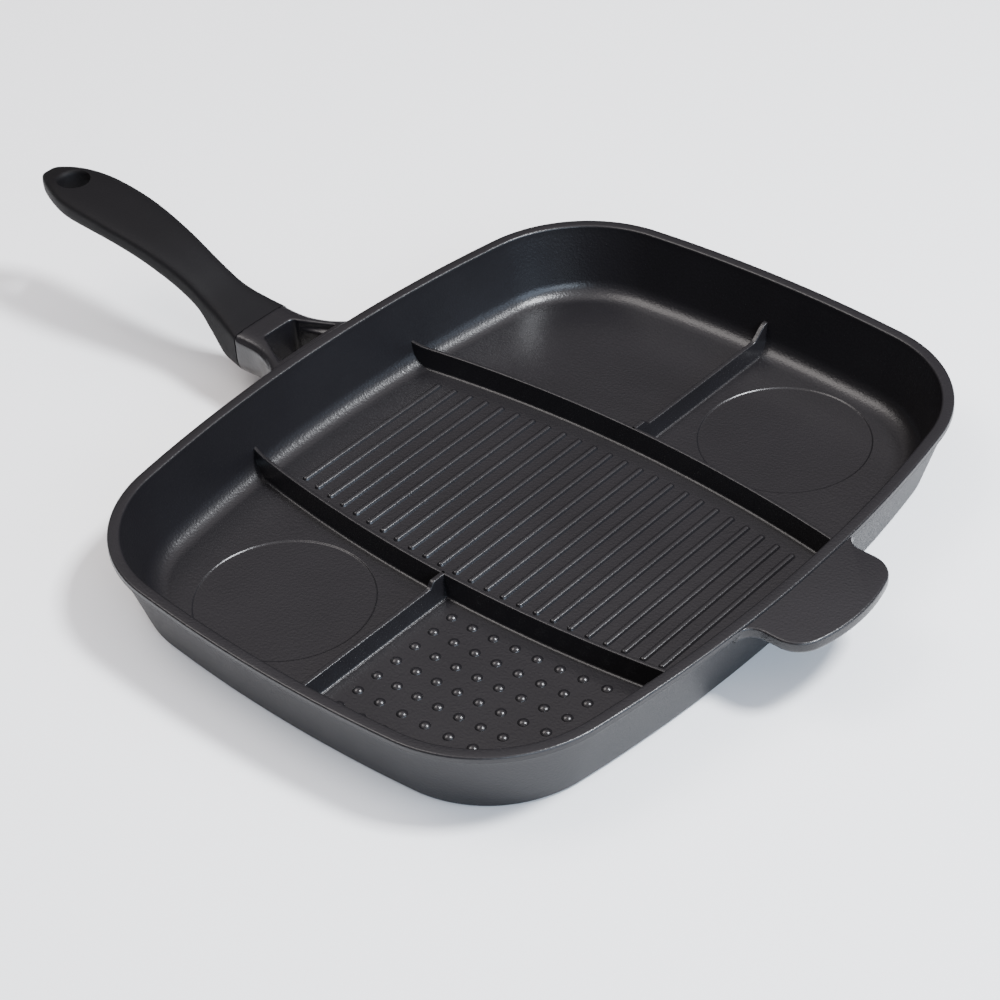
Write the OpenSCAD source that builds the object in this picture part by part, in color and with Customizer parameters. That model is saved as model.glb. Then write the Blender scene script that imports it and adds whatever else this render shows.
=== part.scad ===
// Divided frying pan: one die-cast pan with five cooking zones, a helper tab and a
// windowed bracket, and a moulded grip that slides on the bracket's tang.
// X runs from the grip (minus) to the helper tab (plus), Z is up, and the
// origin is the middle of the underside.

/* [Pan body] */
// Width of the rim from the grip side to the tab side
pan_width = 304; // [270:1:340]
// Length of the rim across the handle
pan_length = 382; // [350:1:420]
// Height from the table to the top of the rim
pan_height = 41.5; // [36:0.5:52]
// Radius of the rim's corners
corner_radius = 71.5; // [60:0.5:85]
// Radius of the gentle bow of all four sides
side_bow_radius = 765; // [600:5:1200]
// Thickness of the floor
floor_thickness = 3.5; // [3:0.1:5]
// Width of the flat rim band
rim_width = 6.3; // [5.5:0.1:8]
// Thickness of the rim band
rim_thickness = 3.8; // [3:0.1:6]
// How far the rim stands out past the wall
rim_overhang = 1.9; // [1:0.1:3]
// Lean of the outer wall from upright, in degrees
outer_draft = 17; // [14:0.5:18]
// Lean of the inner wall from upright, in degrees
inner_draft = 13.5; // [11:0.5:14]
// Radius where the inner wall meets the floor
floor_fillet = 11; // [8:0.5:13]
// Radius of the edge that stands on the table
foot_radius = 2.4; // [1.5:0.1:3]

/* [Long dividers] */
// Distance of each long divider from the middle line
long_offset = 70.3; // [62:0.1:78]
// Radius of the long dividers' bow
long_bow_radius = 760; // [600:5:1200]
// Height above the floor
long_height = 11.7; // [9:0.1:13]
// Width of the crest
long_crest = 2; // [1.6:0.1:3]
// Width at the floor
long_base = 4.8; // [4:0.1:6]
// Rise of the crest where it meets the wall
long_end_rise = 2.8; // [1:0.1:4]
// Length of that rise
long_end_run = 13; // [8:0.5:18]

/* [Cross dividers] */
// Height above the floor
cross_height = 8.5; // [7:0.1:9]
// Width of the crest
cross_crest = 2.4; // [1.8:0.1:3]
// Width at the floor
cross_base = 7.4; // [6:0.1:9]
// Length of the raised stub beside the long divider
stub_length = 7.5; // [5:0.1:10]
// Length of the slope from the stub down to the crest
stub_slope = 3.4; // [2:0.1:5]
// Rise of the crest where it meets the wall
cross_end_rise = 7; // [4:0.1:9]
// Length of that rise
cross_end_run = 9; // [6:0.5:12]

/* [Grill ribs] */
// Number of ribs
rib_count = 24; // [12:1:26]
// Distance from rib to rib
rib_pitch = 9.78; // [9:0.02:9.9]
// Width of a rib at the floor
rib_width = 3.4; // [2.6:0.1:4]
// Height of a rib
rib_height = 1.3; // [1:0.1:1.6]
// Bare floor between a rib's end and the long divider
rib_end_gap = 9.2; // [6:0.1:14]

/* [Raised dots] */
// Width of a dot at the floor
dot_width = 5.6; // [4:0.1:6.4]
// Height of a dot
dot_height = 1.4; // [1:0.1:2]
// Distance from row to row
dot_row_pitch = 12.55; // [11.5:0.05:12.6]
// Distance of the first row from the long divider's middle
dot_first_row = 12.2; // [9:0.1:13]
// Distance of the first column from the cross divider's middle
dot_first_column = 15.2; // [12:0.1:18]

/* [Egg rings] */
// Radius of each sunk disc
egg_radius = 43.6; // [35:0.1:44]
// Depth of each sunk disc
egg_depth = 0.6; // [0.4:0.05:1]
// Distance of the disc's middle from the cross divider
egg_across = 55.5; // [52:0.1:58]
// Distance of the disc's middle from the long divider
egg_along = 51; // [49:0.1:52]

/* [Helper tab] */
// How far the tab stands out past the rim
tab_reach = 32.8; // [26:0.1:40]
// Width between the tab's sides
tab_width = 72; // [60:0.5:90]
// Thickness of the tab
tab_thickness = 6.4; // [5:0.1:8]
// Radius of the tab's outer corners
tab_corner = 15; // [10:0.5:20]
// Radius of the tab's bowed end
tab_end_radius = 86; // [70:1:140]
// Radius of the flare where the tab leaves the rim
tab_flare = 8; // [5:0.5:12]
// Step down from the rim's top to the tab's top
tab_step = 1; // [0.6:0.1:1.6]

/* [Handle bracket] */
// Distance from the rim to the seam with the grip
bracket_length = 37; // [34:0.5:42]
// Width of the bracket at the seam
bracket_width = 38; // [34:0.5:42]
// Height of the bracket at the seam
bracket_height = 26; // [24:0.5:30]
// Length of the straight stretch beside the seam
bracket_straight = 9; // [6:0.5:12]
// Radius of the flare to the rim
bracket_flare = 39; // [34:1:60]
// Step down from the rim's top to the bracket's top
bracket_step = 0.6; // [0.4:0.1:1.2]
// How much the underside climbs between the seam and the wall
bracket_climb = 5; // [2:0.5:7]
// Length of solid metal between the seam and the window
window_setback = 13; // [11:0.5:15]
// Width of the window on the grip's side
window_narrow = 22; // [18:0.5:24]
// Width of the window at the rim
window_wide = 35; // [28:0.5:38]
// Radius of the window's corners on the grip's side
window_corner = 3; // [2:0.5:4]

/* [Tang and screw] */
// Length of the tang inside the grip
tang_length = 20; // [16:0.5:21]
// Width of the tang
tang_width = 16; // [12:0.5:18]
// Thickness of the tang
tang_thickness = 9; // [7:0.5:10]
// Height of the tang's underside above the bracket's underside
tang_lift = 11; // [10:0.5:12]
// Gap between the tang and its socket
tang_clearance = 0.3; // [0.2:0.05:0.5]
// Radius of the screw's shank
screw_radius = 2.5; // [2:0.1:3]
// Gap between the screw and its holes
screw_clearance = 0.15; // [0.1:0.05:0.3]
// Radius of the screw's head
screw_head_radius = 4.6; // [4:0.1:5]
// Height of the screw's head
screw_head_height = 2.8; // [2:0.1:3]
// Depth of the screw's end in the tang
screw_bite = 7; // [5:0.5:7]
// Distance from the seam to the screw
screw_setback = 10; // [8:0.5:11]
// Depth of plastic under the screw's head
screw_seat_depth = 4.5; // [3:0.1:5]

/* [Grip] */
// Length of the grip from the seam to its tip
grip_length = 160; // [150:1:190]
// How far the grip's top climbs above the seam
grip_rise = 33.5; // [20:0.5:40]
// Width of the grip at its neck
neck_width = 26; // [23:0.5:30]
// Width of the grip where the hand holds it
palm_width = 35.4; // [31:0.1:40]
// Thickness of the grip at its neck
neck_thickness = 16.4; // [14:0.1:20]
// Thickness of the grip where the hand holds it
palm_thickness = 15; // [13:0.5:20]
// Length of the oval end seen from above
tip_length = 40; // [30:1:50]
// Radius of the hanging hole
hang_radius = 8.5; // [6:0.1:9]
// Distance from the tip to the hanging hole's axis
hang_setback = 24.5; // [23:0.5:30]
// Lean of the hanging hole's axis from upright, in degrees
hang_lean = 6; // [0:0.5:12]

/* [Hidden] */
$fn = 64;

metal = [0.16, 0.16, 0.17];
soft_black = [0.11, 0.11, 0.12];
steel = [0.72, 0.72, 0.74];

half_width = pan_width / 2;
half_length = pan_length / 2;
floor_z = floor_thickness;
eps = 0.01;

// Outline of the rim. The four sides are arcs of one radius, and each corner arc
// touches two of them from inside. An inset outline keeps the same arc centres.
corner_steps = 14;
side_steps = 5;
function settle_corner(c, n) = n == 0 ? c : settle_corner(
    [half_width - side_bow_radius + sqrt(pow(side_bow_radius - corner_radius, 2) - c.y * c.y),
     half_length - side_bow_radius + sqrt(pow(side_bow_radius - corner_radius, 2) - c.x * c.x)],
    n - 1);
corner = settle_corner([half_width - corner_radius, half_length - corner_radius], 24);
corner_start = atan2(corner.y, corner.x + side_bow_radius - half_width);
corner_end = atan2(corner.y + side_bow_radius - half_length, corner.x);

function polar(r, a) = [r * cos(a), r * sin(a)];
function arc(c, r, a0, a1, n) = [for (i = [0 : n]) c + polar(r, a0 + (a1 - a0) * i / n)];
function tail(v) = [for (i = [1 : len(v) - 1]) v[i]];
function quarter(d) = concat(
    arc([half_width - side_bow_radius, 0], side_bow_radius - d, 0, corner_start, side_steps),
    tail(arc(corner, corner_radius - d, corner_start, corner_end, corner_steps)),
    tail(arc([0, half_length - side_bow_radius], side_bow_radius - d, corner_end, 90, side_steps)));
function outline(d) =
    let (q = quarter(d), m = len(q) - 1)
    concat([for (i = [0 : m - 1]) q[i]],
           [for (i = [m : -1 : 1]) [-q[i].x, q[i].y]],
           [for (i = [0 : m - 1]) -q[i]],
           [for (i = [m : -1 : 1]) [q[i].x, -q[i].y]]);
function ring(d, z) = [for (p = outline(d)) [p.x, p.y, z]];

// A solid skinned over rings of equally many points, listed so that each ring
// turns left about the way from the first ring to the last.
module skin(rings) {
    n = len(rings[0]);
    last = len(rings) - 1;
    points = [for (r = rings) for (p = r) p];
    sides = [for (k = [0 : last - 1], i = [0 : n - 1], t = [0, 1])
        let (j = (i + 1) % n, a = k * n)
        t == 0 ? [a + i, a + n + i, a + j] : [a + j, a + n + i, a + n + j]];
    caps = [[for (i = [0 : n - 1]) i], [for (i = [n - 1 : -1 : 0]) last * n + i]];
    polyhedron(points = points, faces = concat(sides, caps), convexity = 6);
}

// Outer wall: foot, drafted wall, and the rim band with its rounded edges.
rim_edge = 1.1;
wall_top = pan_height - rim_thickness - 0.7;
wall_inset = rim_overhang + (wall_top - foot_radius) * tan(outer_draft);
module outer_body() {
    skin(concat(
        [for (a = [0, 30, 60, 90])
            ring(wall_inset + foot_radius * (1 - sin(a)), foot_radius * (1 - cos(a)))],
        [ring(rim_overhang, wall_top),
         ring(rim_overhang - 0.4, wall_top + 0.5),
         ring(rim_edge * 0.5, wall_top + 0.7),
         ring(rim_edge * 0.15, wall_top + 0.95),
         ring(0, wall_top + 1.5)],
        [for (a = [0, 30, 60, 90])
            ring(rim_edge * (1 - cos(a)), pan_height - rim_edge * (1 - sin(a)))]));
}

// Space inside the wall: fillet on the floor, drafted wall, rounded inner rim edge.
inner_edge = 1.2;
inner_top = pan_height - inner_edge;
fillet_inset = rim_width + (inner_top - floor_z - floor_fillet * (1 - sin(inner_draft)))
    * tan(inner_draft) + floor_fillet * cos(inner_draft);
fillet_steps = 9;
module cavity() {
    skin(concat(
        [for (i = [0 : fillet_steps])
            let (a = 90 - (90 - inner_draft) * i / fillet_steps)
            ring(fillet_inset - floor_fillet * cos(a), floor_z + floor_fillet * (1 - sin(a)))],
        [for (a = [0, 30, 60, 90])
            ring(rim_width - inner_edge * (1 - cos(a)), inner_top + inner_edge * sin(a))],
        [ring(rim_width - inner_edge, pan_height + 5)]));
}

// Profile of a divider, with a small fillet at the floor and rounded crest edges.
divider_root = 1.2;
divider_sink = 2;
function divider_half(base, crest, height, top) =
    let (lean = (base - crest) / 2 / height)
    [[base / 2 + divider_root, 0],
     [base / 2 + divider_root * 0.35 - lean * 0.35, divider_root * 0.3],
     [base / 2 - lean * divider_root, divider_root],
     [crest / 2 + lean * 0.5, height - 0.5],
     [crest / 2 - 0.45, top]];
module divider_profile(base, crest, height, top) {
    half = divider_half(base, crest, height, top);
    last = len(half) - 1;
    polygon(concat(
        [[half[0].x, -divider_sink]],
        half,
        [for (i = [last : -1 : 0]) [-half[i].x, half[i].y]],
        [[-half[0].x, -divider_sink]]));
}

// Long dividers: a profile turned about a far centre, so that the crest is an
// arc, under a side view that lifts the crest towards the walls.
long_centre = long_bow_radius - long_offset;
long_swing = asin(half_width / long_bow_radius);
long_end = half_width - rim_width;
function long_y(x) = sqrt(long_bow_radius * long_bow_radius - x * x) - long_centre;
function lift(s) = s * s * (3 - 2 * s);
module long_divider() {
    top = long_height + long_end_rise + 1;
    intersection() {
        translate([0, -long_centre, floor_z])
            rotate([0, 0, 90 - long_swing])
                rotate_extrude(angle = 2 * long_swing, $fn = 720)
                    translate([long_bow_radius, 0])
                        divider_profile(long_base, long_crest, long_height, top);
        translate([0, long_offset + 40, floor_z])
            rotate([90, 0, 0])
                linear_extrude(height = 120)
                    polygon(concat(
                        [[half_width, -divider_sink], [half_width, long_height + long_end_rise]],
                        [for (i = [0 : 6]) let (s = 1 - i / 6)
                            [long_end - long_end_run + long_end_run * s,
                             long_height + long_end_rise * s * s]],
                        [for (i = [0 : 6]) let (s = i / 6)
                            [-long_end + long_end_run - long_end_run * s,
                             long_height + long_end_rise * s * s]],
                        [[-half_width, long_height + long_end_rise], [-half_width, -divider_sink]]));
    }
}

// Cross dividers: a drafted bar under a side view with the stub that meets the
// long divider and the sweep that climbs the wall.
cross_end = half_length - rim_width - (pan_height - floor_z - cross_height) * tan(inner_draft);
module cross_divider() {
    top = long_height + cross_end_rise;
    stub_end = long_offset + stub_length;
    low_start = stub_end + stub_slope;
    low_end = cross_end - cross_end_run;
    full = cross_height + cross_end_rise;
    intersection() {
        translate([0, half_length, floor_z])
            rotate([90, 0, 0])
                linear_extrude(height = half_length - long_offset)
                    divider_profile(cross_base, cross_crest, cross_height, top);
        translate([-cross_base, 0, floor_z])
            rotate([90, 0, 90])
                linear_extrude(height = 2 * cross_base)
                    polygon(concat(
                        [[long_offset - 1, -divider_sink], [half_length, -divider_sink],
                         [half_length, full]],
                        [for (i = [0 : 6]) let (s = 1 - i / 6)
                            [low_end + cross_end_run * s, cross_height + cross_end_rise * lift(s)]],
                        [for (i = [0 : 4]) let (s = i / 4)
                            [low_start - stub_slope * s,
                             cross_height + (long_height - cross_height) * lift(s)]],
                        [[long_offset - 1, long_height]]));
    }
}

// A rib or dot is the top of a round bar or ball sunk into the floor.
function sunk_radius(width, height) = (width * width / 4 + height * height) / (2 * height);
rib_radius = sunk_radius(rib_width, rib_height);
dot_radius = sunk_radius(dot_width, dot_height);
module rib(x) {
    reach = long_y(x) - long_base / 2 - rib_end_gap - rib_width / 2;
    translate([x, 0, floor_z + rib_height - rib_radius]) {
        rotate([90, 0, 0])
            cylinder(r = rib_radius, h = 2 * reach, center = true);
        for (side = [-1, 1])
            translate([0, side * reach, 0])
                sphere(r = rib_radius);
    }
}
module ribs() {
    for (i = [0 : rib_count - 1])
        rib((i - (rib_count - 1) / 2) * rib_pitch);
}

// Rows of dots follow the long divider. Each row holds a count of dots spread
// evenly from the first column to a last one, and the rows shorten into the corner.
dot_rows = [[8, 102.4], [8, 101.6], [8, 100.6], [8, 99.2], [7, 86.4], [6, 80.4], [5, 67.2]];
module dots() {
    for (j = [0 : len(dot_rows) - 1])
        for (i = [0 : dot_rows[j][0] - 1]) {
            x = dot_first_column + (dot_rows[j][1] - dot_first_column) * i / (dot_rows[j][0] - 1);
            y = long_y(x) + dot_first_row + dot_row_pitch * j;
            translate([x, -y, floor_z + dot_height - dot_radius])
                sphere(r = dot_radius);
        }
}

// Sunk disc with a sloped edge.
module egg_disc(side) {
    translate([side * egg_across, side * (long_offset + egg_along), floor_z - egg_depth])
        cylinder(r1 = egg_radius - egg_depth, r2 = egg_radius + egg_depth, h = 2 * egg_depth, $fn = 96);
}

module floor_features() {
    long_divider();
    mirror([0, 1, 0])
        long_divider();
    cross_divider();
    mirror([0, 1, 0])
        cross_divider();
    ribs();
    dots();
}

// Helper tab: flat plate with a bowed end, round corners and flares at the rim.
tab_top = pan_height - tab_step;
tab_tip = half_width + tab_reach;
tab_root = half_width - rim_width;
tab_edge = 1.2;
tab_under_edge = 2.4;
tab_flare_y = tab_width / 2 + tab_flare;
tab_line = half_width - side_bow_radius
    + sqrt(side_bow_radius * side_bow_radius - tab_flare_y * tab_flare_y) - 0.2;
function tab_half(d) =
    let (k = tab_width / 2 - tab_corner,
         e = tab_tip - tab_end_radius,
         c = e + sqrt(pow(tab_end_radius - tab_corner, 2) - k * k),
         a = atan2(k, c - e))
    concat(
        arc([e, 0], tab_end_radius - d, 0, a, 4),
        tail(arc([c, k], tab_corner - d, a, 90, 6)),
        arc([tab_line + tab_flare, tab_flare_y], tab_flare + d, 270, 180, 5),
        [[tab_root, tab_flare_y]]);
function tab_loop(d) =
    let (h = tab_half(d), m = len(h) - 1)
    concat(h, [for (i = [m : -1 : 1]) [h[i].x, -h[i].y]]);
function tab_ring(d, z) = [for (p = tab_loop(d)) [p.x, p.y, z]];
module helper_tab() {
    skin(concat(
        [for (a = [0, 30, 60, 90])
            tab_ring(tab_under_edge * (1 - sin(a)),
                     tab_top - tab_thickness + tab_under_edge * (1 - cos(a)))],
        [for (a = [0, 30, 60, 90])
            tab_ring(tab_edge * (1 - cos(a)), tab_top - tab_edge * (1 - sin(a)))]));
}

// Upright section of the bracket and grip: a squarish oval with its own height
// and squareness above and below its widest line.
section_points = 36;
function lobe(v, n) = sign(v) * pow(abs(v), 2 / n);
function section(x, half, top, widest, bottom, n_top, n_bottom) =
    [for (i = [0 : section_points - 1])
        let (a = 360 * (i + 0.5) / section_points, up = sin(a) > 0, n = up ? n_top : n_bottom)
        [x, half * lobe(cos(a), n), widest + (up ? top - widest : widest - bottom) * lobe(sin(a), n)]];

// Bracket: a block at the seam that flares to the rim, open in the middle.
seam_x = -half_width - bracket_length;
seam_top = pan_height - bracket_step;
seam_bottom = seam_top - bracket_height;
seam_widest = seam_top - 9;
square_top = 6;
square_bottom = 3.6;
bracket_end = -half_width + 10;
function bracket_half(x) =
    let (run = max(0, x - seam_x - bracket_straight))
    bracket_width / 2 + bracket_flare - sqrt(bracket_flare * bracket_flare - pow(min(run, bracket_flare - 1), 2));
module bracket_block() {
    steps = 12;
    skin([for (i = [0 : steps])
        let (s = i / steps, x = seam_x + (bracket_end - seam_x) * s)
        section(x, bracket_half(x), seam_top, seam_widest, seam_bottom + bracket_climb * lift(s),
                square_top, square_bottom)]);
}
module window() {
    start = seam_x + window_setback;
    narrow = window_narrow / 2 - window_corner;
    slope = (window_wide - window_narrow) / 2 / (bracket_length - window_setback);
    translate([0, 0, -eps])
        linear_extrude(height = pan_height + 1)
            polygon(concat(
                arc([start + window_corner, narrow], window_corner, 90, 180, 4),
                arc([start + window_corner, -narrow], window_corner, 180, 270, 4),
                [[bracket_end + 1, -window_narrow / 2 - slope * (bracket_end + 1 - start)],
                 [bracket_end + 1, window_narrow / 2 + slope * (bracket_end + 1 - start)]]));
}

// Tang that the grip slides on, with the blind hole for its screw.
tang_bottom = seam_bottom + tang_lift;
screw_x = seam_x - screw_setback;
module tang(gap) {
    translate([seam_x - tang_length - gap, -tang_width / 2 - gap, tang_bottom - gap])
        cube([tang_length + 2 + gap, tang_width + 2 * gap, tang_thickness + 2 * gap]);
}

module pan() {
    color(metal)
        difference() {
            union() {
                outer_body();
                helper_tab();
                difference() {
                    bracket_block();
                    window();
                }
                tang(0);
            }
            difference() {
                cavity();
                floor_features();
            }
            egg_disc(1);
            egg_disc(-1);
            translate([screw_x, 0, tang_bottom - 1])
                cylinder(r = screw_radius + screw_clearance, h = screw_bite + screw_clearance + 1);
        }
}

// Grip. Its lines are given at shares of its length and joined by smooth cubic
// stretches: the climb of the top, the width, and the thickness.
climb_line = [[0, 0], [0.06, 0.088], [0.16, 0.255], [0.26, 0.476], [0.34, 0.628], [0.44, 0.771],
              [0.56, 0.887], [0.68, 0.962], [0.8, 1], [0.9, 1.015], [1, 0.965]];
width_line = [[0, bracket_width], [0.06, bracket_width - 4.7], [0.16, neck_width + 1.4],
              [0.26, neck_width], [0.4, (neck_width + palm_width) / 2 - 0.9],
              [0.6, palm_width], [0.8, palm_width - 0.2], [1, palm_width - 8]];
depth_line = [[0, bracket_height], [0.06, bracket_height + 3.6], [0.1, bracket_height + 5],
              [0.15, neck_thickness + 8.6], [0.2, neck_thickness + 1.8], [0.27, neck_thickness],
              [0.4, palm_thickness - 0.2], [0.55, palm_thickness - 1.2], [0.8, palm_thickness],
              [1, palm_thickness - 2.6]];
function slope_at(v, i) =
    i == 0 ? (v[1].y - v[0].y) / (v[1].x - v[0].x)
    : i == len(v) - 1 ? (v[i].y - v[i - 1].y) / (v[i].x - v[i - 1].x)
    : (v[i + 1].y - v[i - 1].y) / (v[i + 1].x - v[i - 1].x);
function stretch(v, s, i = 0) = i >= len(v) - 2 || s <= v[i + 1].x ? i : stretch(v, s, i + 1);
function along(v, s) =
    let (i = stretch(v, s), h = v[i + 1].x - v[i].x, t = (s - v[i].x) / h)
    (1 + 2 * t) * pow(1 - t, 2) * v[i].y + t * pow(1 - t, 2) * h * slope_at(v, i)
    + t * t * (3 - 2 * t) * v[i + 1].y + t * t * (t - 1) * h * slope_at(v, i + 1);

// The tip closes with an oval plan and a round edge.
tip_edge = 5.5;
function closing(distance, radius) =
    distance >= radius ? 1 : sqrt(max(0, 1 - pow(1 - distance / radius, 2)));
function grip_section(s) =
    let (x = seam_x - grip_length * s,
         left = grip_length * (1 - s),
         top = seam_top + grip_rise * along(climb_line, s),
         depth = along(depth_line, s),
         thin = closing(left, tip_edge),
         settle = lift(min(1, s / 0.2)),
         widest = top - depth * (0.34 + 0.06 * settle),
         half = along(width_line, s) / 2 * closing(left, tip_length))
    section(x, half, widest + (top - widest) * thin, widest, widest - (widest - top + depth) * thin,
            square_top - 1.8 * settle, square_bottom - 0.8 * settle);
body_steps = 24;
tip_steps = 12;
tip_share = tip_length / grip_length;
module grip_form() {
    skin([for (s = concat(
            [for (i = [0 : tip_steps - 1])
                1 - tip_share * (1 - cos(max(3, 90 * i / tip_steps)))],
            [for (i = [0 : body_steps]) (1 - tip_share) * (1 - i / body_steps)]))
        grip_section(s)]);
}

// Screw from below: its head sits in a counterbore and its end bites in the tang.
screw_seat = tang_bottom - screw_seat_depth;
hang_x = seam_x - grip_length + hang_setback;
hang_z = seam_top + grip_rise * along(climb_line, 1 - hang_setback / grip_length) - palm_thickness / 2;
module hang_hole() {
    translate([hang_x, 0, hang_z])
        rotate([0, -hang_lean, 0])
            cylinder(r = hang_radius, h = 3 * palm_thickness, center = true);
}
module handle_grip() {
    color(soft_black)
        difference() {
            grip_form();
            tang(tang_clearance);
            translate([screw_x, 0, screw_seat - eps])
                cylinder(r = screw_radius + screw_clearance, h = screw_seat_depth + 1);
            translate([screw_x, 0, seam_bottom - 4])
                cylinder(r = screw_head_radius + screw_clearance, h = screw_seat - seam_bottom + 4);
            hang_hole();
        }
}

module handle_screw() {
    color(steel)
        translate([screw_x, 0, screw_seat])
            difference() {
                union() {
                    cylinder(r = screw_radius, h = screw_seat_depth + screw_bite);
                    translate([0, 0, -screw_head_height])
                        cylinder(r = screw_head_radius, h = screw_head_height);
                }
                for (turn = [0, 90])
                    rotate([0, 0, turn])
                        translate([-screw_head_radius * 0.55, -0.5, -screw_head_height - 1])
                            cube([screw_head_radius * 1.1, 1, 2.4]);
            }
}

pan();
handle_grip();
handle_screw();
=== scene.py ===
import math

import bmesh
import bpy
import numpy as np
from mathutils import Matrix, Vector
from mathutils.geometry import delaunay_2d_cdt


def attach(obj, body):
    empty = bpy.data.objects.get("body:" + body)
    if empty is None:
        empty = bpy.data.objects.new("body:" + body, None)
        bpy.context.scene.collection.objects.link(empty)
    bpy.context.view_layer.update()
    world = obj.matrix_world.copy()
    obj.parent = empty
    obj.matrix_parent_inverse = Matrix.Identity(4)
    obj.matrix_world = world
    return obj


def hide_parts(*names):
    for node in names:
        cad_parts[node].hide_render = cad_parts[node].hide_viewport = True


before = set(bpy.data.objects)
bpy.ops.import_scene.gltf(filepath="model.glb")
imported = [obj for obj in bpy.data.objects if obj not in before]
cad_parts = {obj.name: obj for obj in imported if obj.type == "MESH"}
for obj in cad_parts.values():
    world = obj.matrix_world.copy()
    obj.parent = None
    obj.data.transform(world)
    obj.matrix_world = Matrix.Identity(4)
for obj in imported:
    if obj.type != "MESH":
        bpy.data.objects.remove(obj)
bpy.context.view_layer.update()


# The camera stands off the near corner and looks down across the pan, as in
# the photograph, with a slight tilt to one side.
view_turn, view_height, view_tilt = (math.radians(angle) for angle in (43.51, 38.30, -3.67))
view_place = (0.6573, -0.7214, 0.7859)
film_width, lens_over_film = 36, 2.589

back = Vector((math.sin(view_turn) * math.cos(view_height),
               -math.cos(view_turn) * math.cos(view_height),
               math.sin(view_height)))
level = Vector((0, 0, 1)).cross(back).normalized()
upright = back.cross(level)
right = level * math.cos(view_tilt) + upright * math.sin(view_tilt)
up = upright * math.cos(view_tilt) - level * math.sin(view_tilt)
photo_camera = bpy.data.cameras.new("photo_camera")
photo_camera.sensor_width = film_width
photo_camera.lens = film_width * lens_over_film
photo_camera.clip_start = 0.05
photo_camera.clip_end = 30
camera = bpy.data.objects.new("photo_camera", photo_camera)
turned = Matrix((right, up, back)).transposed().to_4x4()
camera.matrix_world = Matrix.Translation(view_place) @ turned
bpy.context.scene.collection.objects.link(camera)
bpy.context.scene.camera = camera


# The body is one aluminium die casting: a flat foot, walls that lean out, a flat
# rim band, and a round fillet where the inner wall meets the floor. Sizes are in mm.
rim_half_width, rim_half_length, rim_height = 152.0, 191.0, 41.5
bow_radius, corner_radius = 765.0, 71.5
floor_height, fillet_radius, foot_radius = 3.5, 11.0, 2.4
rim_band, rim_overhang, rim_depth = 6.3, 1.9, 3.8
inner_lean, outer_lean = math.radians(13.5), math.radians(17)
edge_radius, lip_radius, rim_root, flat_ring = 1.1, 1.2, 0.7, 0.1
side_steps, corner_steps, end_steps, wall_steps = 21, 36, 13, 8

bow_x, bow_y = rim_half_width - bow_radius, rim_half_length - bow_radius
apart = math.hypot(bow_x, bow_y)
reach = math.sqrt((bow_radius - corner_radius) ** 2 - apart * apart / 4)
corner_x = bow_x / 2 - reach * bow_y / apart
corner_y = bow_y / 2 - reach * bow_x / apart
side_turn = math.atan2(corner_y, corner_x - bow_x)
end_turn = math.atan2(corner_y - bow_y, corner_x)


def rim_outline(turn, inset):
    """Point whose outward normal has this angle: the middle of that stretch's arc, plus the
    arc's radius less the inset, along the normal. Each side, end and corner is one arc."""
    turn, inset = np.broadcast_arrays(np.asarray(turn, float), np.asarray(inset, float))
    flip_x, flip_y = np.where(np.cos(turn) < 0, -1, 1), np.where(np.sin(turn) < 0, -1, 1)
    first = np.arctan2(np.abs(np.sin(turn)), np.abs(np.cos(turn)))
    beside, beyond = first < side_turn, first > end_turn
    middle_x = np.where(beside, bow_x, np.where(beyond, 0.0, corner_x))
    middle_y = np.where(beside, 0.0, np.where(beyond, bow_y, corner_y))
    radius = np.where(beside | beyond, bow_radius, corner_radius) - inset
    return np.stack([flip_x * (middle_x + radius * np.cos(first)),
                     flip_y * (middle_y + radius * np.sin(first))], axis=-1)


def arc_steps(first, last, count):
    """Sines and cosines of evenly spaced angles, given in degrees."""
    angle = np.radians(np.linspace(first, last, count))
    return np.sin(angle), np.cos(angle)


def straight_rows(start, stop):
    """Evenly spaced points between two ends, without the ends."""
    return start + np.linspace(0, 1, wall_steps + 2)[1:-1, None] * (stop - start)


quarter = np.concatenate([np.linspace(0, side_turn, side_steps, endpoint=False),
                          np.linspace(side_turn, end_turn, corner_steps, endpoint=False),
                          np.linspace(end_turn, np.pi / 2, end_steps, endpoint=False)])
turns = np.concatenate([quarter, [np.pi / 2], np.pi - quarter[:0:-1],
                        np.pi + quarter, [1.5 * np.pi], 2 * np.pi - quarter[:0:-1]])

# The wall's profile runs from the foot up the outside, under and over the rim,
# down the inside and round the fillet, and ends in a narrow flat ring that keeps
# the fillet's shading off the floor. Each row is an inset and a height.
wall_top = rim_height - rim_depth - rim_root
foot_inset = rim_overhang + (wall_top - foot_radius) * math.tan(outer_lean)
lip_height = rim_height - lip_radius
inner_drop = lip_height - floor_height - fillet_radius * (1 - math.sin(inner_lean))
fillet_inset = rim_band + inner_drop * math.tan(inner_lean) + fillet_radius * math.cos(inner_lean)
foot_sin, foot_cos = arc_steps(0, 73, 9)
edge_sin, edge_cos = arc_steps(0, 90, 8)
bend_sin, bend_cos = arc_steps(13.5, 90, 16)
foot_rows = np.stack([foot_inset + foot_radius * (1 - foot_sin),
                      foot_radius * (1 - foot_cos)], 1)
under_rows = [0, wall_top] + np.array([[rim_overhang, 0], [rim_overhang - 0.15, 0.3],
                                       [rim_overhang - 0.5, 0.55], [0.8, 0.65],
                                       [0.4, 0.8], [0.12, 1.1], [0, 1.6]])
edge_rows = np.stack([edge_radius * (1 - edge_cos), rim_height - edge_radius * (1 - edge_sin)], 1)
lip_rows = np.stack([rim_band - lip_radius * (1 - edge_sin), lip_height + lip_radius * edge_cos], 1)
bend_rows = np.stack([fillet_inset - fillet_radius * bend_cos,
                      floor_height + fillet_radius * (1 - bend_sin)], 1)
floor_rows = [[fillet_inset + flat_ring, floor_height]]
outside_rows = np.concatenate([foot_rows, straight_rows(foot_rows[-1], under_rows[0]), under_rows])
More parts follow.
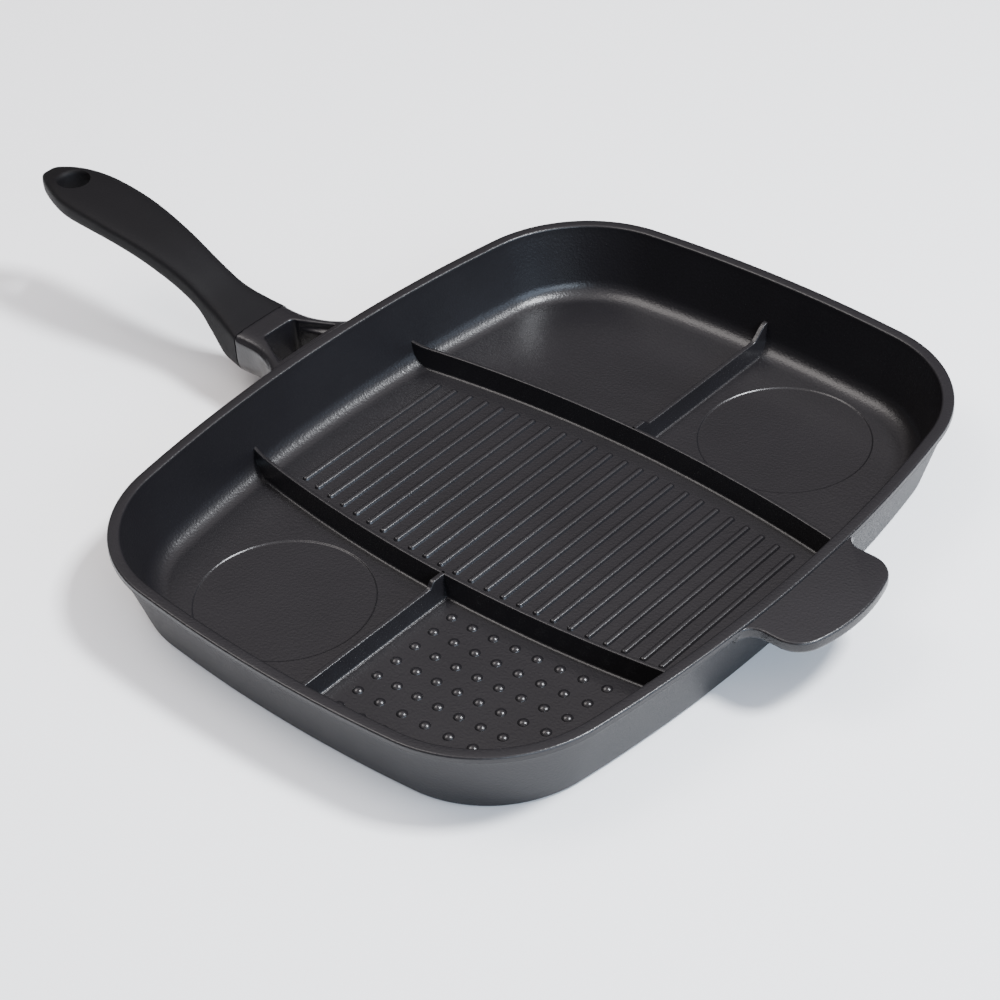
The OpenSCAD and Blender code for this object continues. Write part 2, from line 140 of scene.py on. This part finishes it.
inside_rows = np.concatenate([edge_rows, lip_rows, straight_rows(lip_rows[-1], bend_rows[0]),
                              bend_rows, floor_rows])
wall_rows = np.concatenate([outside_rows, inside_rows])
wall_plan = rim_outline(turns[None, :], wall_rows[:, :1])
wall_grid = np.concatenate([wall_plan, np.repeat(wall_rows[:, 1:, None], len(turns), 1)], axis=2)
casting_points, casting_faces, casting_polish = [], [], []


def shut_grid_faces(rows, columns):
    """Four-sided faces between neighbouring rows, where the last column meets the first."""
    row, column = np.arange(rows - 1)[:, None], np.arange(columns)[None, :]
    beside = (column + 1) % columns
    return np.stack([row * columns + column, row * columns + beside,
                     (row + 1) * columns + beside, (row + 1) * columns + column],
                    axis=-1).reshape(-1, 4)


def cast_surface(grid, first_cap=True, last_cap=True, polish=0.0):
    """Adds a grid of shut rows to the casting, with flat faces over its first and last rows.
    Polish, one value or one per row, says how much smoother the coating is there."""
    rows, columns = grid.shape[:2]
    start = sum(len(points) for points in casting_points)
    casting_points.append(grid.reshape(-1, 3))
    casting_polish.append(np.repeat(np.broadcast_to(polish, rows), columns))
    casting_faces.extend((shut_grid_faces(rows, columns) + start).tolist())
    if first_cap:
        casting_faces.append((start + np.arange(columns)[::-1]).tolist())
    if last_cap:
        casting_faces.append((start + (rows - 1) * columns + np.arange(columns)).tolist())


outside_polish, inside_polish = -4.0, 0.0
wall_polish = np.repeat([outside_polish, inside_polish], [len(outside_rows), len(inside_rows)])
cast_surface(wall_grid, last_cap=False, polish=wall_polish)

# The floor is one flat face. Two of the five zones carry a sunk disc with a fine
# edge, the size of a fried egg, so the face has two round holes, and each hole is
# closed by a disc that lies a little lower.
disc_middles = np.array([[-55.5, -120.9], [55.5, 120.9]])
disc_radius, disc_depth, disc_polish = 43.6, 0.5, 0.3
step_width, step_outside, weld_gap = 0.9, 0.25, 1e-6


def smooth_step(value):
    """Runs from 0 to 1 with level ends: three squares less two cubes."""
    value = np.clip(value, 0, 1)
    return value * value * (3 - 2 * value)


def round_rows(middle, radii, heights, turn):
    """Rings about an upright axis: the middle, plus each radius times the cosine and the sine
    of each angle, at the heights."""
    x = middle[0] + radii[:, None] * np.cos(turn)
    y = middle[1] + radii[:, None] * np.sin(turn)
    return np.stack([x, y, np.broadcast_to(heights[:, None], x.shape)], axis=-1)


step_share = np.concatenate([[-0.05], np.linspace(0, 1, 7), [1.5]])
step_radii = disc_radius + step_outside - step_width * step_share
step_heights = floor_height - disc_depth * smooth_step(step_share)
disc_turn = np.linspace(0, 2 * np.pi, 120, endpoint=False)
disc_grids = [round_rows(middle, step_radii, step_heights, disc_turn) for middle in disc_middles]

floor_loops = [wall_grid[-1, :, :2], disc_grids[0][0, :, :2], disc_grids[1][0, :, :2]]
loop_starts = np.cumsum([0] + [len(loop) for loop in floor_loops])
floor_edges = [(int(start + number), int(start + (number + 1) % len(loop)))
               for start, loop in zip(loop_starts, floor_loops) for number in range(len(loop))]
loop_points = [Vector(point) for point in np.concatenate(floor_loops).tolist()]
flat_points, _, flat_faces, *_ = delaunay_2d_cdt(loop_points, floor_edges, [], 0, weld_gap)
flat_points = np.array([tuple(point) for point in flat_points])
flat_faces = np.array([list(face) for face in flat_faces])
face_middles = flat_points[flat_faces].mean(axis=1)
from_discs = np.linalg.norm(face_middles[:, None, :] - disc_middles[None], axis=-1)
in_disc = (from_discs < step_radii[0]).any(axis=1)
start = sum(len(points) for points in casting_points)
casting_points.append(np.column_stack([flat_points, np.full(len(flat_points), floor_height)]))
casting_polish.append(np.zeros(len(flat_points)))
casting_faces.extend((flat_faces[~in_disc] + start).tolist())
for disc_grid in disc_grids:
    cast_surface(disc_grid, first_cap=False, polish=disc_polish)

# Two long dividers and two cross dividers stand on the floor. They are drafted so
# that the casting leaves its mould, and each climbs a little where it meets the wall.
long_middle, long_bow = 70.3, 760.0
long_height, long_base, long_crest = 11.7, 4.8, 2.0
long_climb, long_climb_from, long_climb_run, long_reach = 2.8, 129.5, 13.0, 143.0
cross_height, cross_base, cross_crest = 8.5, 7.4, 2.4
cross_climb, cross_climb_from, cross_climb_run = 7.0, 167.0, 9.5
cross_start, cross_joint_end, cross_joint_run = long_middle - 0.5, 81.2, 3.4
root_radius, crest_radius, knee_drop, ridge_sunk, end_crowding = 1.3, 0.65, 0.715, 1.5, 1.3


def ridge_section(heights, base, crest, drafted_height):
    """Half widths and heights of a drafted ridge: a round root on the floor, a side that
    leans in up to the drafted height and then stands up, and a round crest."""
    heights = np.asarray(heights, float)[:, None]
    lean = (base - crest) / 2 / drafted_height
    root_turn = np.linspace(1.5 * np.pi, np.pi + math.atan(lean), 7)[None]
    root_middle = base / 2 - lean * root_radius + root_radius * math.hypot(1, lean)
    root_half = root_middle + root_radius * np.cos(root_turn) + 0 * heights
    root_lift = root_radius + root_radius * np.sin(root_turn) + 0 * heights
    knee = np.minimum(heights, drafted_height) - knee_drop
    crest_half = base / 2 - lean * knee
    crest_turn = np.linspace(math.atan(lean), np.pi / 2, 7)[None]
    tip_half = crest_half - crest_radius + crest_radius * np.cos(crest_turn)
    tip_lift = heights - crest_radius + crest_radius * np.sin(crest_turn)
    half = np.concatenate([root_half[:, :1], root_half, crest_half, tip_half], axis=1)
    lift = np.concatenate([0 * heights - ridge_sunk, root_lift, knee, tip_lift], axis=1)
    return (np.concatenate([half, -half[:, ::-1]], axis=1),
            np.concatenate([lift, lift[:, ::-1]], axis=1))


def wall_middle_inset(height):
    """Inset of the middle of the wall's thickness at a height above the floor, in straight
    stretches between five heights."""
    return np.interp(height, [-1.5, 0, 6, 12, 20], [16.5, 16.0, 12.3, 10.6, 8.4])


def long_line(x):
    """Distance of a long divider's middle line from the pan's middle: the root of the bow's
    radius squared less x squared, moved so that it has the divider's distance at x = 0."""
    return np.sqrt(long_bow ** 2 - x ** 2) - (long_bow - long_middle)


def cast_both_sides(x, y, z):
    """Casts a ridge and its mirror image across the middle. The image has its columns turned
    round, so that its faces point outwards too."""
    cast_surface(np.stack([x, y, z], axis=-1))
    cast_surface(np.stack([x, -y, z], axis=-1)[:, ::-1])


along = np.linspace(-1, 1, 201)
along = np.sign(along) * (1 - (1 - np.abs(along)) ** end_crowding)
end_share = np.clip((np.abs(along) * long_reach - long_climb_from) / long_climb_run, 0, 1)
long_half, long_lift = ridge_section(long_height + long_climb * end_share ** 2,
                                     long_base, long_crest, long_height)
long_x = along[:, None] * (rim_half_width - wall_middle_inset(long_lift))
cast_both_sides(long_x, long_line(long_x) + long_half, floor_height + long_lift)


def cross_line(height):
    """Distances from the pan's middle along a cross divider: even steps from inside the long
    divider to the middle of the wall at this height."""
    steps = np.linspace(0, 1, 121)[:, None]
    return cross_start + steps * (rim_half_length - wall_middle_inset(height) - cross_start)


crest_y = cross_line(8.0)[:, 0]
joint_share = smooth_step((cross_joint_end - crest_y) / cross_joint_run)
climb_share = smooth_step((crest_y - cross_climb_from) / cross_climb_run)
cross_top = cross_height + (long_height - cross_height) * joint_share + cross_climb * climb_share
cross_half, cross_lift = ridge_section(cross_top, cross_base, cross_crest, cross_height)
cast_both_sides(-cross_half, cross_line(cross_lift), floor_height + cross_lift)

# The grill zone has twenty-four low ribs, cast on the floor, with round crests and
# round ends that stay clear of the long dividers.
rib_count, rib_pitch, rib_gap, rib_end_radius, rib_polish = 24, 9.78, 9.2, 1.7, 0.5
rib_half_widths = np.array([1.95, 1.9, 1.74, 1.58, 1.42, 1.24, 0.98, 0.66, 0.3, 0.03])
rib_lifts = np.array([0.0, 0.06, 0.3, 0.56, 0.8, 0.99, 1.15, 1.25, 1.3, 1.31])
root_depth, half_ring = 1.0, np.linspace(0, np.pi, 13)


def rooted(grid):
    """Repeats the first row lower by the root's depth, inside the floor."""
    return np.concatenate([grid[:1] - [0, 0, root_depth], grid])


rib_x = (np.arange(rib_count) - (rib_count - 1) / 2) * rib_pitch
rib_reach = long_line(rib_x) - long_base / 2 - rib_gap - rib_end_radius
rib_turn = np.concatenate([half_ring, np.pi + half_ring])
rib_side = np.repeat([1.0, -1.0], len(half_ring))
for x, far in zip(rib_x, rib_reach):
    rib = round_rows((x, rib_side * far), rib_half_widths, floor_height + rib_lifts, rib_turn)
    cast_surface(rooted(rib), polish=rib_polish)

# One zone has fifty raised dots, cast on the floor in rows that follow the long
# divider's bow. Each row has its number of dots and the place of its last dot.
dot_rows = [(8, 102.4), (8, 101.6), (8, 100.6), (8, 99.2), (7, 86.4), (6, 80.4), (5, 67.2)]
dot_first_x, dot_first_row, dot_pitch = 15.2, 12.2, 12.55
dot_radius, dot_height, dot_polish = 2.75, 1.4, 1.0
dot_radii = np.array([2.8, 2.72, 2.6, 2.4, 2.1, 1.75, 1.3, 0.85, 0.4, 0.08])

cap_radius = (dot_radius ** 2 + dot_height ** 2) / (2 * dot_height)
dot_lifts = dot_height - cap_radius + np.sqrt(cap_radius ** 2 - dot_radii ** 2)
dot_x = np.concatenate([np.linspace(dot_first_x, last, count) for count, last in dot_rows])
dot_row = np.repeat(np.arange(len(dot_rows)), [count for count, _ in dot_rows])
dot_y = -(long_line(dot_x) + dot_first_row + dot_pitch * dot_row)
dot_turn = np.linspace(0, 2 * np.pi, 24, endpoint=False)
for x, y in zip(dot_x, dot_y):
    dot = round_rows((x, y), dot_radii, floor_height + dot_lifts, dot_turn)
    cast_surface(rooted(dot), polish=dot_polish)

# The helper tab is a flat plate with a bowed end, cast with the rim for the second
# hand. A low step parts it from the rim.
tab_tip, tab_half_width, tab_corner, tab_bow, tab_flare = 184.8, 36.0, 15.0, 86.0, 8.0
tab_top, tab_depth, tab_root_x, tab_sunk = 40.5, 6.4, 146.0, 0.2
tab_under_radius, tab_edge_radius = 2.4, 1.2

tab_middle = tab_tip - tab_bow
tab_corner_y = tab_half_width - tab_corner
tab_corner_x = tab_middle + math.sqrt((tab_bow - tab_corner) ** 2 - tab_corner_y ** 2)
tab_turn = math.atan2(tab_corner_y, tab_corner_x - tab_middle)
tab_outer_y = tab_half_width + tab_flare
tab_line = bow_x + math.sqrt(bow_radius ** 2 - tab_outer_y ** 2) - tab_sunk


def tab_outline(inset):
    """Half the tab's edge, as arcs inset from the end bow, the corner and the flare, then
    its mirror image."""
    inset = np.asarray(inset, float)[:, None]
    bow = np.linspace(0, tab_turn, 12)[None]
    turn_in = np.linspace(tab_turn, np.pi / 2, 16)[None, 1:]
    flare = np.radians(np.linspace(270, 180, 12))[None]
    x = np.concatenate([tab_middle + (tab_bow - inset) * np.cos(bow),
                        tab_corner_x + (tab_corner - inset) * np.cos(turn_in),
                        tab_line + tab_flare + (tab_flare + inset) * np.cos(flare),
                        tab_root_x + 0 * inset], axis=1)
    y = np.concatenate([(tab_bow - inset) * np.sin(bow),
                        tab_corner_y + (tab_corner - inset) * np.sin(turn_in),
                        tab_outer_y + (tab_flare + inset) * np.sin(flare),
                        tab_outer_y + 0 * inset], axis=1)
    return np.stack([np.concatenate([x, x[:, :0:-1]], axis=1),
                     np.concatenate([y, -y[:, :0:-1]], axis=1)], axis=-1)


under_sin, under_cos = arc_steps(0, 90, 10)
tab_rows = np.concatenate([np.stack([tab_under_radius * (1 - under_sin),
                                     tab_top - tab_depth + tab_under_radius * (1 - under_cos)], 1),
                           np.stack([tab_edge_radius * (1 - edge_cos),
                                     tab_top - tab_edge_radius * (1 - edge_sin)], 1)])
tab_plan = tab_outline(tab_rows[:, 0])
tab_heights = np.broadcast_to(tab_rows[:, 1][:, None, None], (*tab_plan.shape[:2], 1))
cast_surface(np.concatenate([tab_plan, tab_heights], axis=2))


def mesh_object(name, points, faces):
    """A smooth-shaded mesh object from points in millimetres."""
    mesh = bpy.data.meshes.new(name)
    mesh.from_pydata((np.asarray(points) / 1000).tolist(), [], faces)
    mesh.update()
    mesh.shade_smooth()
    made = bpy.data.objects.new(name, mesh)
    bpy.context.scene.collection.objects.link(made)
    return made


casting = mesh_object("pan_casting", np.concatenate(casting_points), casting_faces)
polish_values = casting.data.attributes.new("polish", "FLOAT", "POINT")
polish_values.data.foreach_set("value", np.concatenate(casting_polish).astype(np.float32))
welded = bmesh.new()
welded.from_mesh(casting.data)
bmesh.ops.remove_doubles(welded, verts=welded.verts, dist=1e-7)
welded.to_mesh(casting.data)
welded.free()
casting.data.shade_smooth()


# The coating is a sprayed film that dries satin black with a fine grain. It pools
# smoother over the small dots and ribs, and is left rougher outside.
cloud_detail, grain_detail, coating_cloud_scale = 3, 2, 18
roughness_drift, tone_drift, polish_share = 0.05, 1.5, 0.06
grain_strength, polished_grain_strength = 0.6, 0.06


def cloudy_finish(name, first_colour, last_colour, low, high, cloud_scale):
    """One slow noise over the piece gives its share of the way from the low roughness to the
    high one, and from the first colour to the last."""
    finish = bpy.data.materials.new(name)
    finish.use_nodes = True
    nodes, links = finish.node_tree.nodes, finish.node_tree.links
    shader = nodes["Principled BSDF"]
    place = nodes.new("ShaderNodeTexCoord")
    cloud = nodes.new("ShaderNodeTexNoise")
    cloud.inputs["Scale"].default_value = cloud_scale
    cloud.inputs["Detail"].default_value = cloud_detail
    links.new(place.outputs["Object"], cloud.inputs["Vector"])
    spread = nodes.new("ShaderNodeMapRange")
    spread.inputs["To Min"].default_value = low
    spread.inputs["To Max"].default_value = high
    links.new(cloud.outputs["Fac"], spread.inputs["Value"])
    links.new(spread.outputs["Result"], shader.inputs["Roughness"])
    tone = nodes.new("ShaderNodeMix")
    tone.data_type = "RGBA"
    tone.inputs["A"].default_value = (*first_colour, 1)
    tone.inputs["B"].default_value = (*last_colour, 1)
    links.new(cloud.outputs["Fac"], tone.inputs["Factor"])
    links.new(tone.outputs["Result"], shader.inputs["Base Color"])
    return finish, place, spread


def coating_finish(name, colour, roughness, gloss, grain_size, grain_depth):
    """Dark cloudy film: roughness falls by a share of the polish, and a fine noise lifts and
    sinks the surface by up to the grain's depth, less where the polish is high."""
    finish, place, spread = cloudy_finish(name, colour, [part * tone_drift for part in colour],
                                          roughness - roughness_drift, roughness + roughness_drift,
                                          coating_cloud_scale)
    nodes, links = finish.node_tree.nodes, finish.node_tree.links
    shader = nodes["Principled BSDF"]
    shader.inputs["Specular IOR Level"].default_value = gloss
    smoothed = nodes.new("ShaderNodeAttribute")
    smoothed.attribute_name = "polish"
    shine = nodes.new("ShaderNodeMath")
    shine.operation = "MULTIPLY_ADD"
    shine.inputs[1].default_value = -polish_share
    links.new(smoothed.outputs["Fac"], shine.inputs[0])
    links.new(spread.outputs["Result"], shine.inputs[2])
    links.new(shine.outputs["Value"], shader.inputs["Roughness"])
    grain = nodes.new("ShaderNodeTexNoise")
    grain.inputs["Scale"].default_value = 1 / grain_size
    grain.inputs["Detail"].default_value = grain_detail
    links.new(place.outputs["Object"], grain.inputs["Vector"])
    grain_left = nodes.new("ShaderNodeMapRange")
    grain_left.inputs["To Min"].default_value = grain_strength
    grain_left.inputs["To Max"].default_value = polished_grain_strength
    links.new(smoothed.outputs["Fac"], grain_left.inputs["Value"])
    bump = nodes.new("ShaderNodeBump")
    bump.inputs["Distance"].default_value = grain_depth
    links.new(grain_left.outputs["Result"], bump.inputs["Strength"])
    links.new(grain.outputs["Fac"], bump.inputs["Height"])
    links.new(bump.outputs["Normal"], shader.inputs["Normal"])
    return finish


coating = coating_finish("non_stick_coating", (0.0058, 0.0053, 0.0061), roughness=0.32, gloss=0.4,
                         grain_size=0.0013, grain_depth=0.00022)
casting.data.materials.append(coating)
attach(casting, "root")
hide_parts("pan")

# The bracket is cast with the body: a block at the seam that flares to the rim,
# with a small ledge along its top edges, and a window through it that keeps heat
# from the grip.
seam_x, seam_top = -189.0, 40.9
bracket_half_width, bracket_depth, bracket_shoulder = 19.0, 26.0, 9.0
bracket_climb, bracket_climb_run, bracket_reach, bracket_square = 5.0, 47.0, 44.0, (7.0, 3.6)
flare_from, flare_run, flare_radius = 9.0, 38.0, 39.0
ledge_width, ledge_drop, ledge_slope, ledge_run = 0.9, 3.2, 0.7, 2.0
section_turn = 2 * np.pi * (np.arange(96) + 0.5) / 96


def squarish_oval(half, top, widest, bottom, square_top, square_bottom):
    """Cosines and sines raised to two over the squareness, scaled up, down and sideways from
    the widest line. Each value has one row per section."""
    cosine, sine = np.cos(section_turn)[None], np.sin(section_turn)[None]
    power = np.where(sine > 0, 2 / square_top, 2 / square_bottom)
    sideways = half * np.sign(cosine) * np.abs(cosine) ** power
    stretch = np.where(sine > 0, top - widest, widest - bottom)
    return sideways, widest + stretch * np.sign(sine) * np.abs(sine) ** power


def bracket_section(run):
    """Section of the bracket at a distance from the seam: the half width follows a quarter
    circle outwards, the underside climbs a little, and the top is narrower by the ledge."""
    flared = np.clip(run - flare_from, 0, flare_run)
    half = bracket_half_width + flare_radius - np.sqrt(flare_radius ** 2 - flared ** 2)
    bottom = seam_top - bracket_depth + bracket_climb * smooth_step(run / bracket_climb_run)
    sideways, lift = squarish_oval(half, seam_top, seam_top - bracket_shoulder, bottom,
                                   *bracket_square)
    above_ledge = smooth_step((lift - seam_top + ledge_drop) / ledge_slope)
    ledge = ledge_width * above_ledge * smooth_step(run / ledge_run)
    return sideways - np.sign(sideways) * ledge, lift


# Each line of the bracket stops half-way into the wall, at the inset that the
# middle of the wall has at that line's height.
end_y, end_z = bracket_section(np.full((1, 1), bracket_reach))
end_inset = np.interp(end_z, [10, 20, 30, 36, 38, 42], [11.5, 9.1, 6.4, 4.7, 3.4, 3.1])
end_run = -rim_half_width + end_inset + end_y ** 2 / (2 * bow_radius) - seam_x
bracket_run = np.linspace(0, 1, 60)[:, None] * end_run
bracket_y, bracket_z = bracket_section(bracket_run)
bracket_grid = np.stack([seam_x + bracket_run, -bracket_y, bracket_z], axis=-1)


def solid_from_grid(name, grid):
    """A closed mesh from a grid of shut rows, with flat ends."""
    rows, columns = grid.shape[:2]
    faces = shut_grid_faces(rows, columns).tolist()
    faces.append(np.arange(columns)[::-1].tolist())
    faces.append(((rows - 1) * columns + np.arange(columns)).tolist())
    return mesh_object(name, grid.reshape(-1, 3), faces)


def bake_modifiers(target):
    """Puts a piece's modifiers into its mesh."""
    depsgraph = bpy.context.evaluated_depsgraph_get()
    result = bpy.data.meshes.new_from_object(target.evaluated_get(depsgraph))
    target.modifiers.clear()
    target.data = result


def cut_away(target, cutter):
    """Takes the cutter's space out of the target, then removes the cutter."""
    cut = target.modifiers.new("cut", "BOOLEAN")
    cut.operation, cut.object, cut.solver = "DIFFERENCE", cutter, "EXACT"
    bake_modifiers(target)
    bpy.data.objects.remove(cutter)


def soften(target, voxel, rounds):
    """Remeshes a solid into small even faces and relaxes them, so that its edges turn round
    as cast ones are."""
    remesh = target.modifiers.new("remesh", "REMESH")
    remesh.mode, remesh.voxel_size = "VOXEL", voxel
    relax = target.modifiers.new("relax", "SMOOTH")
    relax.factor, relax.iterations = 0.5, rounds
    bake_modifiers(target)
    target.data.shade_smooth()


# The window's prism has round corners by the grip and opens towards the wall. Its
# upper part stops short of the rim, so that a strip of the bracket is left there.
window_radius, window_corner_x, window_corner_y = 3.0, -173.0, 8.0
window_open_x, window_open_y, window_lip_x = -141.0, 20.485, -154.2
window_bottom, strip_bottom, strip_slope_top, window_top = 0, 35.5, 37.5, 60
window_sin, window_cos = arc_steps(90, 180, 9)
window_x = np.concatenate([window_corner_x + window_radius * window_cos,
                           window_corner_x + window_radius * window_cos[::-1],
                           [window_open_x, window_open_x]])
window_y = np.concatenate([window_corner_y + window_radius * window_sin,
                           -window_corner_y - window_radius * window_sin[::-1],
                           [-window_open_y, window_open_y]])
lip_x = np.minimum(window_x, window_lip_x)
window_prism = np.stack([np.stack([x, window_y, 0 * window_x + height], -1) for x, height in
                         ((window_x, window_bottom), (window_x, strip_bottom),
                          (lip_x, strip_slope_top), (lip_x, window_top))])

bracket = solid_from_grid("pan_bracket", bracket_grid)
cut_away(bracket, solid_from_grid("window_cutter", window_prism))
soften(bracket, voxel=0.0006, rounds=8)
bracket.data.materials.clear()
bracket.data.materials.append(coating)
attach(bracket, "root")

# The grip is a phenolic moulding with a matt, soft skin. It climbs from the seam,
# narrows at the neck, fills the palm, and ends in an oval with a hanging hole.
grip_length, grip_climb, tip_length, tip_edge = 160.0, 33.5, 40.0, 5.5
seam_square, grip_square = (6.0, 3.6), (4.2, 2.8)
seam_shoulder, grip_shoulder, square_until = 0.34, 0.40, 0.2
climb_stations = [0, .06, .16, .26, .34, .44, .56, .68, .8, .9, 1]
climb_shares = [0, .088, .255, .476, .628, .771, .887, .962, 1, 1.015, .965]
width_stations = [0, .06, .16, .26, .4, .6, .8, 1]
widths = [38, 33.3, 27.4, 26, 29.8, 35.4, 35.2, 27.4]
depth_stations = [0, .06, .1, .15, .2, .27, .4, .55, .8, 1]
depths = [26, 29.6, 31, 25, 18.2, 16.4, 14.8, 13.8, 15, 12.4]


def smooth_line(stations, values, where):
    """Cubic stretches between stations, each with the slope of the line between its two
    neighbours."""
    stations, values = np.asarray(stations, float), np.asarray(values, float)
    slopes = np.empty_like(values)
    slopes[1:-1] = (values[2:] - values[:-2]) / (stations[2:] - stations[:-2])
    steps = np.diff(values) / np.diff(stations)
    slopes[0], slopes[-1] = steps[0], steps[-1]
    piece = np.clip(np.searchsorted(stations, where, side="left") - 1, 0, len(stations) - 2)
    run = stations[piece + 1] - stations[piece]
    t = (where - stations[piece]) / run
    return ((1 + 2 * t) * (1 - t) ** 2 * values[piece] + t * (1 - t) ** 2 * run * slopes[piece]
            + t * t * (3 - 2 * t) * values[piece + 1] + t * t * (t - 1) * run * slopes[piece + 1])


def closing(left, length):
    """Quarter circle that shuts an end: 1 while more than the length is left, 0 at the tip."""
    return np.sqrt(np.maximum(0, 1 - (1 - np.minimum(left / length, 1)) ** 2))


tip_share = tip_length / grip_length
tip_turn = np.radians(np.linspace(90, 3.2, 40))
share = np.concatenate([np.linspace(0, 1 - tip_share, 109, endpoint=False),
                        1 - tip_share * (1 - np.cos(tip_turn))])
left = grip_length * (1 - share)
settle = smooth_step(share / square_until)
grip_top = seam_top + grip_climb * smooth_line(climb_stations, climb_shares, share)
grip_half = smooth_line(width_stations, widths, share) / 2 * closing(left, tip_length)
grip_depth = smooth_line(depth_stations, depths, share)
grip_widest = grip_top - grip_depth * (seam_shoulder + (grip_shoulder - seam_shoulder) * settle)
grip_under = grip_top - grip_depth
edge_close = closing(left, tip_edge)
grip_y, grip_z = squarish_oval(
    grip_half[:, None], (grip_widest + (grip_top - grip_widest) * edge_close)[:, None],
    grip_widest[:, None], (grip_widest - (grip_widest - grip_under) * edge_close)[:, None],
    (seam_square[0] + (grip_square[0] - seam_square[0]) * settle)[:, None],
    (seam_square[1] + (grip_square[1] - seam_square[1]) * settle)[:, None])
grip_x = seam_x - grip_length * share[:, None] + 0 * grip_y
grip = solid_from_grid("handle_grip_skin", np.stack([grip_x, -grip_y, grip_z], axis=-1)[::-1])

# The hanging hole is moulded square to the leaning tip, with a round mouth above
# and below.
hole_middle, hole_lean = np.array([-324.5, 0, 67.2]), math.radians(6)
hole_depths = np.array([-14, -9.2, -8.4, -7.6, -6.8, -5.8, 5.8, 6.6, 7.4, 8.1, 8.8, 14])
hole_radii = np.array([14.0, 10.6, 9.6, 9.0, 8.65, 8.5, 8.5, 8.65, 9.0, 9.6, 10.6, 14.0])
hole_turn = np.linspace(0, 2 * np.pi, 96, endpoint=False)
hole_axis = np.array([-math.sin(hole_lean), 0, math.cos(hole_lean)])
hole_side = np.array([math.cos(hole_lean), 0, math.sin(hole_lean)])
hole_ring = (np.cos(hole_turn)[:, None] * hole_side
             + np.sin(hole_turn)[:, None] * np.array([0, 1, 0]))
hole_grid = (hole_middle + hole_depths[:, None, None] * hole_axis
             + hole_radii[:, None, None] * hole_ring)
cut_away(grip, solid_from_grid("hole_cutter", hole_grid))

# A counterbore from below, with a slight cone at its mouth, takes the screw's head.
screw_x = -199.0
bore_radii, bore_heights = np.array([5.6, 5.6, 4.75, 4.75]), np.array([8.0, 14.4, 15.3, 21.4])
bore_grid = round_rows((screw_x, 0), bore_radii, bore_heights, hole_turn)
cut_away(grip, solid_from_grid("bore_cutter", bore_grid))
grip.data.shade_smooth()
grip.data.set_sharp_from_angle(angle=math.radians(50))
grip.data.materials.clear()
grip.data.materials.append(coating_finish("soft_touch_skin", (0.0030, 0.0027, 0.0031),
                                          roughness=0.6, gloss=0.12,
                                          grain_size=0.0011, grain_depth=0.00016))
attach(grip, "root")
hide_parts("handle_grip")

# The screw is steel with a zinc plating, which comes out of its bath a little
# cloudy. It is driven from below through the grip into the tang.
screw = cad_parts["handle_screw"]
plated, *_ = cloudy_finish("zinc_plate", (0.52, 0.54, 0.57), (0.68, 0.68, 0.69),
                           low=0.24, high=0.46, cloud_scale=900)
plated.node_tree.nodes["Principled BSDF"].inputs["Metallic"].default_value = 1
screw.data.materials.clear()
screw.data.materials.append(plated)

# The pan stands on pale matt paper that reaches out of the picture.
paper_reach, paper_drop = 7, 0.0004
paper = bpy.data.meshes.new("studio_floor")
paper.from_pydata([(x * paper_reach, y * paper_reach, -paper_drop)
                   for x, y in ((-1, -1), (1, -1), (1, 1), (-1, 1))], [], [(0, 1, 2, 3)])
paper_finish = bpy.data.materials.new("studio_paper")
paper_finish.use_nodes = True
paper_shader = paper_finish.node_tree.nodes["Principled BSDF"]
paper_shader.inputs["Base Color"].default_value = (0.9, 0.9, 0.9, 1)
paper_shader.inputs["Roughness"].default_value = 0.9
paper_shader.inputs["Specular IOR Level"].default_value = 0.2
paper.materials.append(paper_finish)
floor = bpy.data.objects.new("studio_floor", paper)
bpy.context.scene.collection.objects.link(floor)


# Four soft lights stand round the pan: a small main one high on the tab's side, a
# wide cool one low on that side, a warm one over the handle, and a cool one in front.
def soft_light(name, direction, distance, width, depth, power, colour):
    """A rectangular light on the line from the pan's middle along a direction, turned to
    face the pan."""
    lamp = bpy.data.lights.new(name, "AREA")
    lamp.shape = "RECTANGLE"
    lamp.size, lamp.size_y = width, depth
    lamp.energy = power
    lamp.color = colour
    made = bpy.data.objects.new(name, lamp)
    place = Vector(direction).normalized() * distance
    made.location = place
    made.rotation_mode = "QUATERNION"
    made.rotation_quaternion = (-place).to_track_quat("-Z", "Y")
    bpy.context.scene.collection.objects.link(made)


soft_light("key_light", (0.44, 0.26, 0.86), 2.2, 0.42, 0.42, 104, (0.93, 0.96, 1.0))
soft_light("window_light", (0.93, 0.08, 0.37), 2.4, 1.6, 1.2, 40, (0.62, 0.78, 1.0))
soft_light("ceiling_light", (-0.46, -0.22, 0.86), 2.4, 1.2, 1.2, 31, (1.0, 0.95, 0.92))
soft_light("front_light", (0.76, -0.46, 0.46), 2.4, 1.0, 0.8, 30, (0.72, 0.85, 1.0))

# The air round the pan is dim near the ground and lighter overhead.
world = bpy.data.worlds.new("studio_air")
world.use_nodes = True
air, air_links = world.node_tree.nodes, world.node_tree.links
look = air.new("ShaderNodeTexCoord")
parts = air.new("ShaderNodeSeparateXYZ")
climb = air.new("ShaderNodeMapRange")
climb.interpolation_type = "SMOOTHSTEP"
for socket, value in (("From Min", 0.56), ("From Max", 0.74), ("To Min", 0.1), ("To Max", 1.15)):
    climb.inputs[socket].default_value = value
air_links.new(look.outputs["Generated"], parts.inputs["Vector"])
air_links.new(parts.outputs["Z"], climb.inputs["Value"])
air_links.new(climb.outputs["Result"], air["Background"].inputs["Strength"])
air["Background"].inputs["Color"].default_value = (1.0, 0.93, 0.95, 1)
bpy.context.scene.world = world
